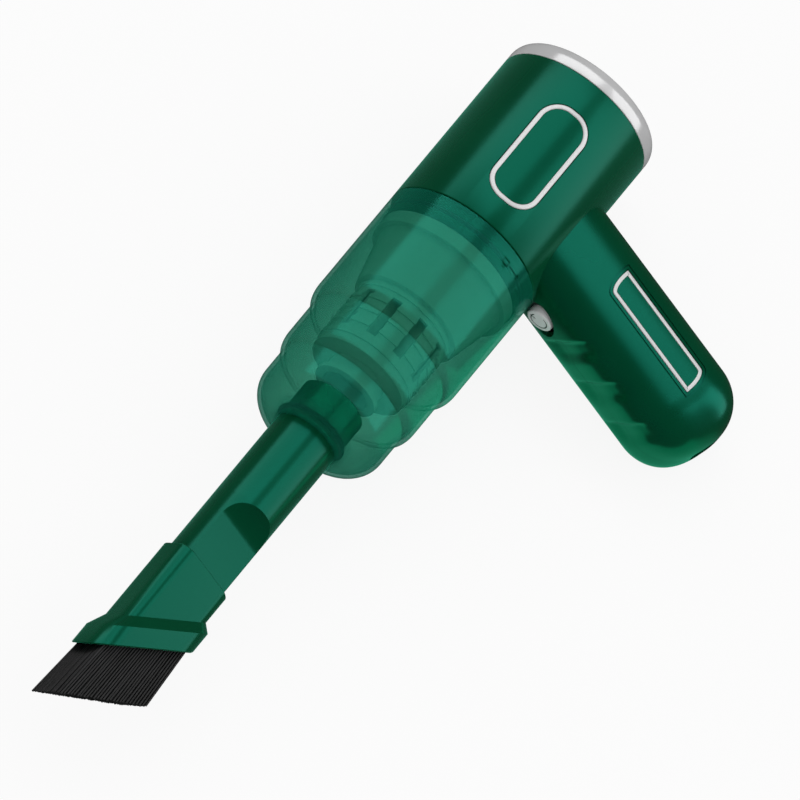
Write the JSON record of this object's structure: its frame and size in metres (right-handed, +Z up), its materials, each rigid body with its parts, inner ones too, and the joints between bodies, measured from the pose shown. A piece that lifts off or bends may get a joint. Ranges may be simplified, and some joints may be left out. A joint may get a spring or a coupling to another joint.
{
  "type": "handheld vacuum cleaner",
  "caption": "Handheld car vacuum cleaner: motor barrel with a leaning battery handle, clear stepped dust cup with a filter, crevice nozzle and slip-on brush.",
  "frame": {"origin": "middle of the footprint on the floor, with the tool lying on its right side", "axes": "-X the way the nozzle points, +X the exhaust end, -Y the side that the handle lies to, +Z up, which is the tool's left side"},
  "size_m": [0.3332, 0.1519, 0.066],
  "materials": {
    "gloss_green": "smooth gloss",
    "deep_green": "smooth gloss",
    "clear_green": "clear, tinted",
    "chrome": "polished",
    "silver_trim": "satin",
    "black_plastic": "fine matt",
    "black_rubber": "smooth",
    "black_foam": "open cell",
    "bristle": "fine fibres",
    "pale_plastic": "milky clear",
    "filter_paper": "pleated",
    "steel": "plain",
    "copper": "plain",
    "magnet": "plain",
    "board": "lacquered",
    "cell_wrap": "shrink film",
    "red_wire": "smooth"
  },
  "bodies": {
    "barrel": {"barrel": "gloss_green", "exhaust_ring": "chrome", "exhaust_grille": "black_plastic", "exhaust_foam": "black_foam", "badge_frame_left": "silver_trim", "badge_frame_right": "silver_trim", "badge_plate_left": "deep_green", "badge_plate_right": "deep_green", "fan_plate": "black_plastic", "motor_bracket": "black_plastic", "motor_can": "steel", "motor_magnets": "magnet", "motor_end_cap": "black_plastic", "shaft_bushes": "copper", "motor_screws": "steel", "motor_cushion": "black_rubber", "motor_spider": "black_plastic", "motor_leads": "red_wire", "handle_left": "gloss_green", "handle_right": "gloss_green", "handle_screws": "steel", "window_frame_left": "silver_trim", "window_frame_right": "silver_trim", "window_plate_left": "gloss_green", "window_plate_right": "gloss_green", "button_guide": "black_plastic", "power_switch": "black_plastic", "control_board": "board", "battery_cells": "cell_wrap", "battery_cradle": "black_plastic", "battery_strips": "steel", "charge_board": "board", "charge_socket": "steel"},
    "rotor": {"impeller": "pale_plastic", "motor_shaft": "steel", "armature": "steel", "commutator": "copper"},
    "button": {"power_button": "chrome"},
    "cup_ring": {"cup_seal": "black_rubber"},
    "cup": {"dust_cup": "clear_green"},
    "filter": {"filter_base": "pale_plastic", "filter_cage": "pale_plastic", "filter_pleats": "filter_paper", "filter_cap": "pale_plastic"},
    "nozzle_ring": {"nozzle_seal": "black_rubber"},
    "nozzle": {"crevice_nozzle": "gloss_green"},
    "brush": {"brush_shoe": "gloss_green", "bristles_left": "bristle", "bristles_right": "bristle", "bristles_upper": "bristle", "bristles_lower": "bristle"}
  },
  "joints": [
    {"name": "impeller_spin", "type": "hinge", "parent": "barrel", "child": "rotor", "pos_m": [0.08593, 0.04254, 0.033], "axis": [1, 0, 0], "continuous": true},
    {"name": "button_press", "type": "slide", "parent": "barrel", "child": "button", "axis": [1, 0, 0], "range_m": [0, 0.0012], "stiffness_N_per_m": 1000, "springref_m": -0.0005},
    {"name": "cup_twist", "type": "hinge", "parent": "barrel", "child": "cup_ring", "pos_m": [0.08593, 0.04254, 0.033], "axis": [1, 0, 0], "range_deg": [0, 20]},
    {"name": "cup_pull", "type": "slide", "parent": "cup_ring", "child": "cup", "axis": [-1, 0, 0], "range_m": [0, 0.11]},
    {"name": "filter_pull", "type": "slide", "parent": "barrel", "child": "filter", "axis": [-1, 0, 0], "range_m": [0, 0.006]},
    {"name": "nozzle_turn", "type": "hinge", "parent": "cup", "child": "nozzle_ring", "pos_m": [0.08593, 0.04254, 0.033], "axis": [1, 0, 0], "continuous": true},
    {"name": "nozzle_pull", "type": "slide", "parent": "nozzle_ring", "child": "nozzle", "axis": [-1, 0, 0], "range_m": [0, 0.03]},
    {"name": "brush_pull", "type": "slide", "parent": "nozzle", "child": "brush", "axis": [-1, 0, 0], "range_m": [0, 0.06]}
  ]
}
